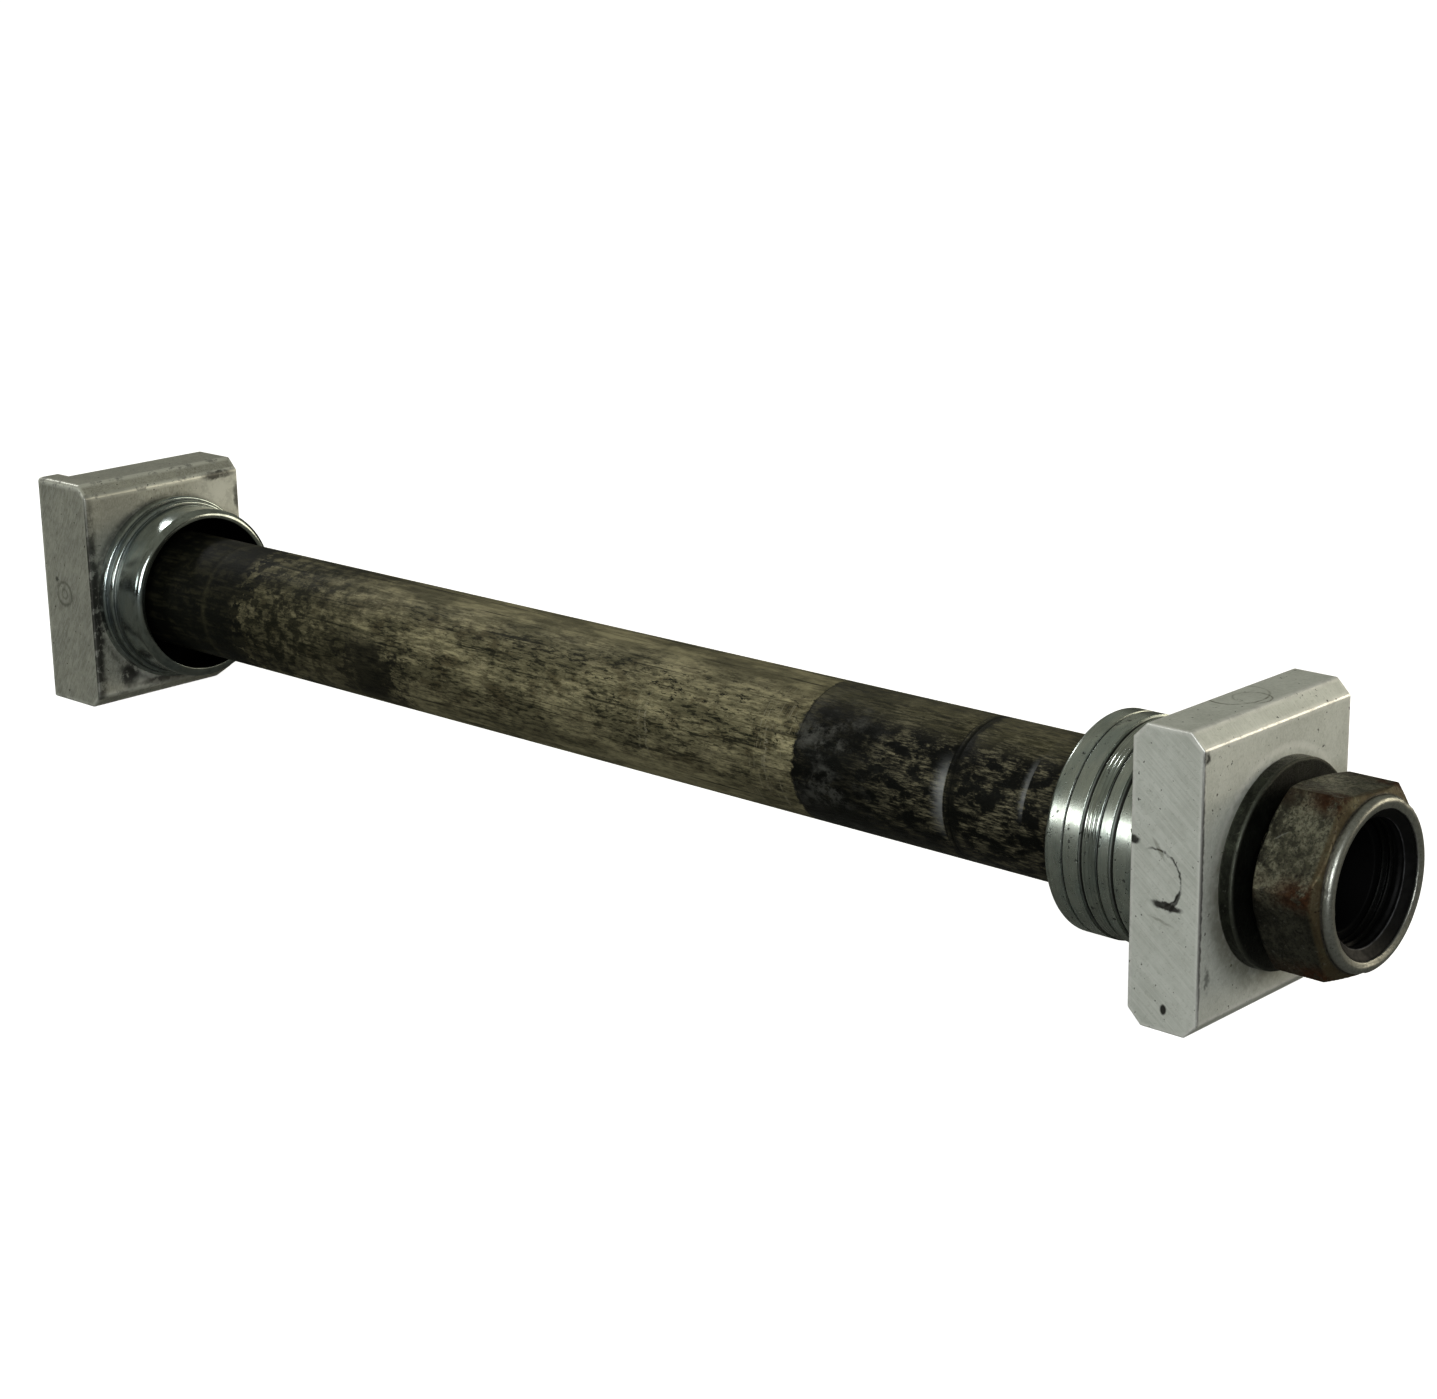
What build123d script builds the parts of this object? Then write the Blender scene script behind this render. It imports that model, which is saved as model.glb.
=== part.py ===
import os
from math import cos, radians, tan

from build123d import *

# Rear wheel axle of a motorcycle, as it comes off with its spacers and chain adjuster blocks.
# The axle lies along Y with its nut at the +Y end, +X is the front and +Z is up.
# The origin is on the axle's centre line, halfway along the axle. All sizes are in millimetres.

# Axle: a tube with a round head at the left and a threaded end at the right
shaft_radius = 14.0
bore_radius = 9.5
bore_edge = 0.3
head_radius = 20.0
head_thickness = 8.1
head_edge = 1.0
head_flat_gap = 0.2  # between the flat on the head and the rib of the left block
thread_radius = 12.0
thread_relief_depth = 1.2
thread_relief_width = 2.0
shoulder_setback = 1.2  # the full shaft ends this far inside the right block
tip_edge = 0.9

# Lengths along the axle that no single piece holds
wheel_space = 267.4  # room for the wheel hub between the two spacers
nut_gap = 2.5  # the nut is backed off from the washer
tip_inside_nut = 7.7  # thread engaged from the nut's inner face to the axle's tip

# Chain adjuster blocks
block_length = 45.0  # fore and aft
block_height = 54.5
block_thickness = 14.5
block_forward = 1.5  # the block's middle is this far ahead of the axle
block_raise = 1.0  # and this far above it
block_bevel = 2.8
block_corner_cut = 8.0
block_edge = 0.3
block_front_round = 1.0
rib_width = 6.0
rib_height = 4.5
hole_clearance = 0.15
hole_edge = 0.6

# Left spacer: flange, bead and a smooth collar that is hollow towards the wheel
left_spacer_length = 13.2
left_collar_radius = 20.4
left_flange_step = 1.8  # the flange stands this far out from the collar
left_flange_thickness = 2.4
left_bead_step = 0.9  # and the bead this far
left_bead_thickness = 1.9
left_nose = 1.6
left_collar_wall = 2.2
left_pocket_depth = 10.0
left_edge = 0.5

# Right spacer: a plain sleeve with turned grooves
right_spacer_length = 21.1
right_spacer_radius = 20.75
right_spacer_edge = 1.0
turned_band_step = 0.25
groove_places = (6.5, 9.6, 13.2, 17.0)  # middles, from the block's face
groove_widths = (1.2, 0.8, 0.8, 0.5)
groove_depths = (0.7, 0.6, 0.6, 0.3)

spacer_clearance = 0.15

# Washer
washer_radius = 19.0
washer_thickness = 2.8
washer_clearance = 0.4
washer_edge = 0.4

# Axle nut: chamfered hexagon with a collar rolled over a locking insert
nut_across_flats = 32.0
nut_corner_angle = 8.0  # first corner, from +X towards +Z
nut_body_length = 12.7
nut_collar_height = 1.8
nut_chamfer_angle = 30.0
nut_face_radius = 16.5
nut_collar_reach = 3.5  # the collar's outside, from the thread's radius
nut_collar_edge = 1.0
nut_lip_reach = 2.2  # how far the rolled collar reaches in over the insert
nut_lip_slope = 0.35
nut_lip_thickness = 0.9
nut_recess_wall = 1.2
thread_clearance = 0.1
nut_thread_edge = 1.0
insert_length = 3.4
insert_clearance = 0.05
insert_bite = 0.4  # the insert's hole is this much under the thread's radius
insert_dish = 1.3

# Places along Y, worked out from the head to the tip
axle_length = (
    head_thickness + 2 * block_thickness + left_spacer_length + wheel_space
    + right_spacer_length + washer_thickness + nut_gap + tip_inside_nut
)
head_y = -axle_length / 2
left_block_y = head_y + head_thickness
left_spacer_y = left_block_y + block_thickness
hub_left_y = left_spacer_y + left_spacer_length
hub_right_y = hub_left_y + wheel_space
right_block_y = hub_right_y + right_spacer_length
washer_y = right_block_y + block_thickness
nut_y = washer_y + washer_thickness + nut_gap
tip_y = nut_y + tip_inside_nut
shoulder_y = washer_y - shoulder_setback

# Places of the blocks' faces
block_front_x = block_forward + block_length / 2
block_bottom_z = block_raise - block_height / 2
rib_inner_x = block_front_x - rib_width


def across(y):
    """Plane square to the axle at y, seen with +X to the right."""
    return Plane(origin=(0, y, 0), x_dir=(1, 0, 0), z_dir=(0, 1, 0))


def along(y):
    """Plane holding the axle's centre line: radius to the right, distance from y upwards."""
    return Plane(origin=(0, y, 0), x_dir=(1, 0, 0), z_dir=(0, 0, 1))


os.makedirs("parts", exist_ok=True)

# Axle shaft, turned in one piece: head, full shaft, relief and thread
relief_radius = thread_radius - thread_relief_depth
with BuildPart() as axle_shaft:
    with BuildSketch(along(0)):
        with BuildLine():
            Polyline(
                (bore_radius, head_y),
                (head_radius - head_edge, head_y),
                (head_radius, head_y + head_edge),
                (head_radius, left_block_y),
                (shaft_radius, left_block_y),
                (shaft_radius, shoulder_y - tip_edge),
                (shaft_radius - tip_edge, shoulder_y),
                (relief_radius, shoulder_y),
                (relief_radius, shoulder_y + thread_relief_width),
                (thread_radius, shoulder_y + thread_relief_width + thread_relief_depth),
                (thread_radius, tip_y - tip_edge),
                (thread_radius - tip_edge, tip_y),
                (bore_radius, tip_y),
                close=True,
            )
        make_face()
    revolve(axis=Axis.Y)
    bore_mouths = axle_shaft.edges().filter_by(GeomType.CIRCLE).group_by(SortBy.RADIUS)[0]
    chamfer(bore_mouths, length=bore_edge)
    # Flat on the head that bears on the rib and keeps the axle from turning
    flat_x = rib_inner_x - head_flat_gap
    with BuildSketch(across(head_y)):
        with Locations((flat_x, 0)):
            Rectangle(2 * head_radius, 2 * head_radius, align=(Align.MIN, Align.CENTER))
    extrude(amount=head_thickness, mode=Mode.SUBTRACT)
axle_shaft.part.label = "axle_shaft"
export_step(axle_shaft.part, "parts/axle_shaft.step")

# Left adjuster block: bevelled on the wheel side only, with a rib down its outer front edge
with BuildPart() as left_adjuster_block:
    with BuildSketch(across(left_block_y)):
        with Locations((block_forward, -block_raise)):
            Rectangle(block_length, block_height)
    extrude(amount=block_thickness)
    cross_edges = left_adjuster_block.edges().filter_by(Axis.Y)
    chamfer(cross_edges.group_by(Axis.Z)[0].sort_by(Axis.X)[0], length=block_corner_cut)
    wheel_face = left_adjuster_block.faces().sort_by(Axis.Y)[-1]
    long_edges = wheel_face.edges().filter_by(Axis.X)
    chamfer(long_edges, length=block_bevel)
    with BuildSketch(Plane.XY.offset(block_bottom_z)):
        with Locations((rib_inner_x, left_block_y)):
            Rectangle(rib_width, rib_height, align=(Align.MIN, Align.MAX))
    extrude(amount=block_height)
    front_face = left_adjuster_block.faces().sort_by(Axis.X)[-1]
    fillet(front_face.edges().filter_by(Axis.Y).sort_by(Axis.Z)[-1], radius=block_front_round)
    upright_edges = left_adjuster_block.edges().filter_by(Axis.Z)
    chamfer(upright_edges.group_by(Axis.X)[-1] + upright_edges.group_by(Axis.X)[0], length=block_edge)
    with Locations(across(left_block_y + block_thickness)):
        Hole(shaft_radius + hole_clearance)
    hole_edges = left_adjuster_block.edges().filter_by(GeomType.CIRCLE).group_by(SortBy.RADIUS)[-1]
    chamfer(hole_edges, length=hole_edge)
left_adjuster_block.part.label = "left_adjuster_block"
export_step(left_adjuster_block.part, "parts/left_adjuster_block.step")

# Right adjuster block: bevelled on both sides
with BuildPart() as right_adjuster_block:
    with BuildSketch(across(right_block_y)):
        with Locations((block_forward, -block_raise)):
            Rectangle(block_length, block_height)
    extrude(amount=block_thickness)
    cross_edges = right_adjuster_block.edges().filter_by(Axis.Y)
    chamfer(cross_edges.group_by(Axis.Z)[0].sort_by(Axis.X)[0], length=block_corner_cut)
    chamfer(right_adjuster_block.edges().filter_by(Axis.X), length=block_bevel)
    upright_edges = right_adjuster_block.edges().filter_by(Axis.Z)
    chamfer(upright_edges.group_by(Axis.X)[-1] + upright_edges.group_by(Axis.X)[0], length=block_edge)
    with Locations(across(right_block_y + block_thickness)):
        Hole(shaft_radius + hole_clearance)
    hole_edges = right_adjuster_block.edges().filter_by(GeomType.CIRCLE).group_by(SortBy.RADIUS)[-1]
    chamfer(hole_edges, length=hole_edge)
right_adjuster_block.part.label = "right_adjuster_block"
export_step(right_adjuster_block.part, "parts/right_adjuster_block.step")

# Left spacer, turned: a flange against the block, a bead, then a collar with a deep pocket
bead_end = left_flange_thickness + left_bead_thickness
left_flange_radius = left_collar_radius + left_flange_step
left_bead_radius = left_collar_radius + left_bead_step
left_pocket_radius = left_collar_radius - left_collar_wall
with BuildPart() as left_spacer:
    with BuildSketch(along(left_spacer_y)) as left_section:
        with BuildLine():
            Polyline(
                (shaft_radius + spacer_clearance, 0),
                (left_flange_radius, 0),
                (left_flange_radius, left_flange_thickness),
                (left_bead_radius, left_flange_thickness),
                (left_bead_radius, bead_end),
                (left_collar_radius, bead_end),
                (left_collar_radius, left_spacer_length),
                (left_pocket_radius, left_spacer_length),
                (left_pocket_radius, left_spacer_length - left_pocket_depth),
                (shaft_radius + spacer_clearance, left_spacer_length - left_pocket_depth),
                close=True,
            )
        make_face()
        nose = left_section.vertices().group_by(Axis.Y)[-1].sort_by(Axis.X)[-1]
        chamfer(nose, length=left_nose)
        flange_rim = left_section.vertices().group_by(Axis.X)[-1].sort_by(Axis.Y)[-1]
        chamfer(flange_rim, length=left_edge)
        bead_rim = left_section.vertices().filter_by_position(
            Axis.X, left_bead_radius - left_edge / 2, left_bead_radius + left_edge / 2
        ).sort_by(Axis.Y)[-1]
        chamfer(bead_rim, length=left_edge)
    revolve(axis=Axis.Y)
left_spacer.part.label = "left_spacer"
export_step(left_spacer.part, "parts/left_spacer.step")

# Right spacer, turned: a sleeve whose four grooves part it into bands
with BuildPart() as right_spacer:
    with BuildSketch(across(hub_right_y)):
        Circle(right_spacer_radius)
        Circle(shaft_radius + spacer_clearance, mode=Mode.SUBTRACT)
    extrude(amount=right_spacer_length)
    for place, width, depth in zip(groove_places, groove_widths, groove_depths):
        with BuildSketch(along(right_block_y - place)):
            with Locations((right_spacer_radius - depth, 0)):
                Polygon((0, 0), (depth, -width / 2), (depth, width / 2))
        revolve(axis=Axis.Y, mode=Mode.SUBTRACT)
    # The band between the second and third grooves is turned a little smaller
    band_start = right_block_y - groove_places[2]
    band_length = groove_places[2] - groove_places[1]
    with BuildSketch(along(band_start)):
        with Locations((right_spacer_radius - turned_band_step, 0)):
            Rectangle(2 * turned_band_step, band_length, align=Align.MIN)
    revolve(axis=Axis.Y, mode=Mode.SUBTRACT)
    outer_rim = right_spacer.edges().group_by(Axis.Y)[0].sort_by(SortBy.RADIUS)[-1]
    chamfer(outer_rim, length=right_spacer_edge)
right_spacer.part.label = "right_spacer"
export_step(right_spacer.part, "parts/right_spacer.step")

# Washer
with BuildPart() as washer:
    with BuildSketch(across(washer_y)):
        Circle(washer_radius)
        Circle(thread_radius + washer_clearance, mode=Mode.SUBTRACT)
    extrude(amount=washer_thickness)
    outer_rim = washer.faces().sort_by(Axis.Y)[-1].edges().sort_by(SortBy.RADIUS)[-1]
    chamfer(outer_rim, length=washer_edge)
washer.part.label = "washer"
export_step(washer.part, "parts/washer.step")

# Axle nut: hexagon, coned at both ends, then the rolled collar, the recess and the threaded hole
nut_corner_radius = nut_across_flats / 2 / cos(radians(30))
nut_collar_radius = thread_radius + nut_collar_reach
cone_rise = tan(radians(nut_chamfer_angle))
cone_radius = nut_corner_radius + 1
nut_length = nut_body_length + nut_collar_height
nut_opening_radius = nut_collar_radius - nut_lip_reach
recess_radius = nut_collar_radius - nut_recess_wall
recess_top = nut_length - nut_lip_thickness
recess_floor = recess_top - insert_length
nut_hole_radius = thread_radius + thread_clearance
with BuildPart() as axle_nut:
    with BuildSketch(across(nut_y)):
        RegularPolygon(nut_corner_radius, 6, rotation=-nut_corner_angle)
    extrude(amount=nut_body_length)
    with BuildSketch(along(nut_y)):
        with BuildLine():
            Polyline(
                (0, 0),
                (nut_face_radius, 0),
                (cone_radius, (cone_radius - nut_face_radius) * cone_rise),
                (cone_radius, nut_body_length - (cone_radius - nut_collar_radius) * cone_rise),
                (nut_collar_radius, nut_body_length),
                (0, nut_body_length),
                close=True,
            )
        make_face()
    revolve(axis=Axis.Y, mode=Mode.INTERSECT)
    with BuildSketch(along(nut_y)) as collar_section:
        with BuildLine():
            Polyline(
                (0, nut_body_length - nut_collar_height),
                (nut_collar_radius, nut_body_length - nut_collar_height),
                (nut_collar_radius, nut_length),
                (nut_opening_radius, nut_length - nut_lip_slope),
                (0, nut_length - nut_lip_slope),
                close=True,
            )
        make_face()
        crest = collar_section.vertices().group_by(Axis.X)[-1].sort_by(Axis.Y)[-1]
        chamfer(crest, length=nut_collar_edge)
    revolve(axis=Axis.Y)
    with BuildSketch(along(nut_y)):
        with BuildLine():
            Polyline(
                (0, 0),
                (nut_hole_radius + nut_thread_edge, 0),
                (nut_hole_radius, nut_thread_edge),
                (nut_hole_radius, recess_floor),
                (recess_radius, recess_floor),
                (recess_radius, recess_top),
                (nut_opening_radius, recess_top),
                (nut_opening_radius, nut_length),
                (0, nut_length),
                close=True,
            )
        make_face()
    revolve(axis=Axis.Y, mode=Mode.SUBTRACT)
axle_nut.part.label = "axle_nut"
export_step(axle_nut.part, "parts/axle_nut.step")

# Locking insert, held in the recess under the rolled collar
insert_radius = recess_radius - insert_clearance
insert_hole_radius = thread_radius - insert_bite
with BuildPart() as nut_locking_insert:
    with BuildSketch(along(nut_y)):
        with BuildLine():
            Polyline(
                (insert_hole_radius, recess_floor),
                (insert_radius, recess_floor),
                (insert_radius, recess_top),
                (nut_opening_radius, recess_top),
                (insert_hole_radius, recess_top - insert_dish),
                close=True,
            )
        make_face()
    revolve(axis=Axis.Y)
nut_locking_insert.part.label = "nut_locking_insert"
export_step(nut_locking_insert.part, "parts/nut_locking_insert.step")
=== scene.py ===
import math
import bmesh
import bpy
from mathutils import Euler, Matrix, Vector
from types import SimpleNamespace


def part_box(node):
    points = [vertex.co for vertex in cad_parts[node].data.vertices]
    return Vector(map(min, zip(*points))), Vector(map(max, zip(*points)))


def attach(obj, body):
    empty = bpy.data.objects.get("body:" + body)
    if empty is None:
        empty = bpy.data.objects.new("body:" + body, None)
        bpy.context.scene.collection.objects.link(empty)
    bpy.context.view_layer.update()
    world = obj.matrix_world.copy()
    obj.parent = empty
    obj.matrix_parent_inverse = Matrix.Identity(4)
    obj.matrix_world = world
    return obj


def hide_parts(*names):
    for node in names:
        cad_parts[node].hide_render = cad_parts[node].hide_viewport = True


# Rear wheel axle with its chain adjuster blocks, spacers, washer and nut.
# The axle lies along Y with the nut at the +Y end. Sizes in the dictionaries are in millimetres.

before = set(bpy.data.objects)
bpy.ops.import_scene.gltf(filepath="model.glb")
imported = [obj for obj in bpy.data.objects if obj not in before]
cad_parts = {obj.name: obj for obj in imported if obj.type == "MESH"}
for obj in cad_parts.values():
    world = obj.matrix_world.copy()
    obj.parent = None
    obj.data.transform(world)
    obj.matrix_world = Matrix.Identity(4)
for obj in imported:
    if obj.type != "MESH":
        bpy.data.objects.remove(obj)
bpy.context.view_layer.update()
mm = 0.001
degree = math.radians(1)
beyond = 400.0  # further out than any piece reaches, in mm
scene = bpy.context.scene
eased = {"interpolation_type": "SMOOTHSTEP"}  # for a map range that starts and ends softly
current = SimpleNamespace()  # the node tree that is being built, and a finish's look and place in mm
print("frame loaded:", len(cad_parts), "parts")


def boxOf(node):  # lowest and highest corner of a part, in mm
    low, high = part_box(node)
    return low / mm, high / mm


def linear(code):  # sRGB hex to the linear colour that Blender works in
    parts = [int(code[i:i + 2], 16) / 255 for i in (1, 3, 5)]
    return [p / 12.92 if p <= 0.04045 else ((p + 0.055) / 1.055) ** 2.4 for p in parts] + [1.0]


def add(kind, inputs=(), **settings):
    # one node with its settings, values and links; a kind in capitals is an operation of the Math node
    if kind.isupper():
        kind, settings = "Math", {"operation": kind}
    family = next(f for f in ("ShaderNode", "GeometryNode", "Node") if hasattr(bpy.types, f + kind))
    node = current.tree.nodes.new(family + kind)
    for name, value in settings.items():
        setattr(node, name, value)
    for key, value in inputs.items() if isinstance(inputs, dict) else enumerate(inputs):
        socket = node.inputs[key] if isinstance(key, int) else next(
            s for s in node.inputs if s.enabled and s.name == key)
        if isinstance(value, bpy.types.Node):
            value = next(s for s in value.outputs if s.enabled)
        if isinstance(value, bpy.types.NodeSocket):
            current.tree.links.new(value, socket)
        elif isinstance(value, str) and value.startswith("#"):
            socket.default_value = linear(value)
        else:
            socket.default_value = value
    return node


def inScene(name, data):  # a new object that holds the data
    thing = bpy.data.objects.new(name, data)
    scene.collection.objects.link(thing)
    return thing


def intoMesh(shape, mesh):  # writes a worked shape into a mesh
    shape.to_mesh(mesh)
    shape.free()
    return mesh


# Finishes. Every pattern is laid out on Object coordinates turned into millimetres. A mask is 1 where
# its layer shows, and several masks in a tuple show only where all of them do.

def makeFinish(name, recipe, look):  # a material; its recipe gives the shader's inputs
    material = bpy.data.materials.new(name)
    material.use_nodes = True
    current.tree, current.look = material.node_tree, look
    current.tree.nodes.clear()
    coordinates = add("TexCoord").outputs["Object"]
    current.place = add("VectorMath", {0: coordinates, "Scale": 1 / mm}, operation="SCALE")
    add("OutputMaterial", {"Surface": add("BsdfPrincipled", recipe(SimpleNamespace(**look)))})
    return material


def measures():  # x, y, z, the distance from the axle's axis, and the wear on edges
    flat = add("VectorMath", [current.place, (1, 0, 1)], operation="MULTIPLY")
    reach = add("VectorMath", [flat], operation="LENGTH").outputs["Value"]
    edge = add("Attribute", attribute_name="edgeWear").outputs["Fac"]
    return *add("SeparateXYZ", [current.place]).outputs, reach, edge


def patches(size, low, high, detail, spread, turn=(0, 0, 0), seed=0.0, place=None):
    # cloudy patches of a size in mm, or of (across, along the axle[, across the other way]);
    # 0 where the noise is under low, 1 where it is over high
    size = size if isinstance(size, tuple) else (size, size)
    laid = add("Mapping", {"Vector": place or current.place, "Location": (seed,) * 3, "Rotation": turn,
                           "Scale": (*size, size[0])[:3]}, vector_type="TEXTURE")
    noise = add("TexNoise", {"Vector": laid, "Scale": 1.0, "Detail": detail, "Roughness": spread})
    return add("MapRange", {"Value": noise, "From Min": low, "From Max": high}, **eased)


def span(value, low, high, soft):  # 1 from low to high, with soft ends
    rise = add("MapRange", {"Value": value, "From Min": low - soft, "From Max": low + soft}, **eased)
    return add("MapRange", {"Value": value, "From Min": high - soft, "From Max": high + soft,
                            "To Min": rise, "To Max": 0.0}, **eased)


def joined(*values, operation="MULTIPLY"):  # puts any number of values or masks together
    whole, *rest = values
    for value in rest:
        whole = add(operation, [whole, value])
    return whole


def layered(base, layers, kind="FLOAT"):  # each layer's mask lays its value over what is below
    for mask, top in layers:
        factor = joined(*mask) if isinstance(mask, tuple) else mask
        base = add("Mix", {"Factor": factor, "A": base, "B": top}, data_type=kind)
    return base


def painted(base, layers):  # the same with colours, which go by their names in the look
    def named(colour):
        return current.look[colour] if isinstance(colour, str) else colour

    return layered(named(base), [(mask, named(top)) for mask, top in layers], "RGBA")


def shaderInputs(colour, gloss, height):  # what every worn surface tells the shader
    look = current.look
    depth, strength = look["bump"]  # the relief's depth in mm and how strongly it shows
    bump = add("Bump", {"Height": height, "Distance": depth * mm, "Strength": strength})
    return {"Base Color": colour, "Roughness": gloss, "Normal": bump, "Metallic": look["metallic"],
            "Specular IOR Level": look.get("specular", 0.5)}


def wornSteel(look):
    # Ground steel tube, worn and oily: olive grey with long dark streaks, brown stains and a blackened
    # band where it ran in the hub, so it is half metal and half film, with an uneven, dull gloss.
    x, along, z, reach, edge = measures()
    angle = add("ARCTAN2", [z, x])  # radians, from the front round to the top
    streaks = patches((1.5, 15), 0.42, 0.60, 7, 0.66)
    longStreaks = patches((1.1, 45), 0.57, 0.64, 6, 0.64, seed=41)
    cloud = patches((8, 18), 0.42, 0.58, 6, 0.66, seed=29)
    dashes = patches((0.62, 3.4), 0.50, 0.58, 6, 0.68, seed=7)
    flecks = patches((0.38, 3.2), 0.42, 0.64, 6, 0.78, seed=71)
    gaps = patches((2.6, 5), 0.44, 0.56, 5, 0.7, seed=83)
    cracks = patches((0.95, 3.2), 0.540, 0.585, 8, 0.8, seed=53)
    fine = patches((0.35, 2.2), 0.42, 0.62, 4, 0.7, seed=3)
    brown = patches((4, 7), 0.50, 0.62, 6, 0.7, seed=11)
    soot = patches((4.5, 12), 0.44, 0.58, 7, 0.7, seed=23)
    mottle = patches((2.8, 3.6), 0.43, 0.57, 7, 0.75, seed=37)
    tan = patches((3.6, 8), 0.52, 0.64, 6, 0.7, seed=61)
    rubbed = patches((9, 0.45), 0.56, 0.68, 3, 0.5, seed=5)
    edgeNoise = patches((2.5, 3), 0.3, 0.7, 5, 0.7, seed=17)
    turned = patches(0.4, 0.40, 0.60, 3, 0.6, place=add("CombineXYZ", [reach]))
    # Two ways to tear a line across the axle: a little to one side, or far to the other
    ragged = add("MULTIPLY_ADD", [edgeNoise, 1.3, along])
    torn = add("MULTIPLY_ADD", [mottle, -9.0, along])
    band = span(ragged, look.bandStart, beyond, 0.35)
    nearSoil = span(ragged, *look.nearSoil, 5)
    farEnd = span(torn, -beyond, look.farEnd, 2.5)
    farSoil = add("MapRange", {"Value": along, "From Min": look.farSoil[0], "From Max":
                               look.farSoil[1], "To Min": 1.0, "To Max": 0.0}, **eased)
    onHead = span(along, -beyond, look.headEnd, 0.3)
    upper = span(angle, 1.05, 4, 0.28)
    lower = span(angle, -4, -0.45, 0.30)
    middle = layered(1.0, [(upper, 0.30), (lower, 0.55)])
    busy = joined(span(along, *look.busy, 14), span(angle, 0.15, 1.25, 0.25))
    cracked = layered(0.45, [(cloud, 0.75), (busy, 1.0)])
    scored = layered(0.06, [(span(along, *look.scored, 3), 0.40)])
    arcs = joined(*[span(ragged, at, at + width, 0.2) for at, width in look.arcs], operation="MAXIMUM")
    rings = joined(*[span(along, at - width / 2, at + width / 2, 0.12) for at, width in look.rings],
                   operation="MAXIMUM")
    # the bore, and the threaded tip inside the nut, are painted near black: oil, with painted shade where
    # light can't reach
    mouth = layered(span(reach, 0, look.mouthReach, 0.1), [(span(along, -beyond, look.mouthStart, 0.3), 0.0)])
    bore = joined(mouth, span(reach, 0, look.boreReach, 0.1), operation="MAXIMUM")
    smears = []  # pale smears where a bearing's inner ring rubbed, each sharp on its +Y side
    for smear in look.smears:
        feather = patches((0.8, 5), 0.40, 0.60, 6, 0.7, seed=smear["end"])
        length = add("MapRange", {"Value": along, "From Min": smear["end"] - smear["length"],
                                  "From Max": smear["end"] - 0.4}, **eased)
        body = layered(joined(length, length), [(feather, 1.0)])
        sharpSide = span(along, -beyond, smear["end"], 0.12)
        around = span(angle, smear["low"], smear["high"], smear["fade"])
        smears.append(joined(body, length, sharpSide, around, smear["strength"]))
    bare = painted("steel", [
        ((tan, 0.60), "tan"), ((cloud, 0.60), "dull"), ((streaks, 0.55), "dull"),
        ((brown, middle, 0.55), "stain"), ((fine, middle, 0.42), "dark"),
        ((dashes, middle, layered(0.40, [(cloud, 0.88)])), "dark"),
        ((cracks, middle, cracked), "dark"), ((longStreaks, 0.80), "dark"),
        ((rubbed, scored, streaks), "pale"), ((arcs, span(angle, -0.5, 0.45, 0.3), fine, 0.55), "pale"),
        ((farSoil, 0.50), "soil"), ((farSoil, mottle, 0.92), "dark"),
        ((span(torn, *look.stained, 4), span(angle, -0.9, 0.30, 0.2), 0.85), "oil")])
    blackened = painted("oil", [
        ((upper, layered(0.35, [(streaks, 1.0)])), "dull"), ((upper, flecks, 0.35), "steel"),
        ((flecks, gaps, layered(0.86, [(upper, 0.5), (soot, 0.5)])), "fleck"),
        ((flecks, fine, gaps, mottle, 0.30), "tan"),
        ((nearSoil, layered(0.85, [(upper, 0.3)])), "oil"),
        ((nearSoil, cloud, mottle, layered(0.9, [(upper, 0.2)])), "smoke"),
        ((span(ragged, *look.oilRing, 0.6), 0.85), "oil"),
        # painted shade: the underside between 0 and 97 mm is painted darker with the oil colour
        ((lower, span(along, *look.shaded, 2), 0.7), "oil")])
    smooth = painted("farGrey", [((soot, 0.7), "oil"), ((mottle, streaks, 0.30), "dull")])
    # The head: turned on its face, its rim and the bore's mouth rubbed bright
    headSteel = painted("head", [
        ((turned, 0.45), "dull"), ((mottle, 0.55), "soil"), ((brown, 0.45), "stain"),
        ((fine, cloud, 0.4), "dark"), ((edge, layered(0.8, [(mottle, 0.3)])), "headRim")])
    colour = painted(bare, [
        (band, blackened), (farEnd, smooth),
        ((span(along, *look.farMark, 0.8), layered(0.15, [(soot, 0.55)])), "dull"),
        (onHead, headSteel), ((rings, layered(0.35, [(streaks, 0.9)])), "oil"),
        *[(smear, "bright") for smear in smears], (bore, "boreOil")])
    gloss = layered(0.56, [
        (streaks, 0.64), (band, layered(0.42, [(flecks, 0.66)])), (farEnd, 0.62), (onHead, 0.34),
        *[(smear, 0.38) for smear in smears], (bore, 0.7)])
    height = layered(0.6, [((dashes, 0.6), 0.0), ((cracks, 0.8), 0.0), ((fine, 0.5), 0.3)])
    return shaderInputs(colour, gloss, height)


def acrossFace(axis, pair):  # two values across a face as x, y and z, with 0 along the face's own axis
    values = list(pair)
    values.insert("XYZ".index(axis), 0.0)
    return values


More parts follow.
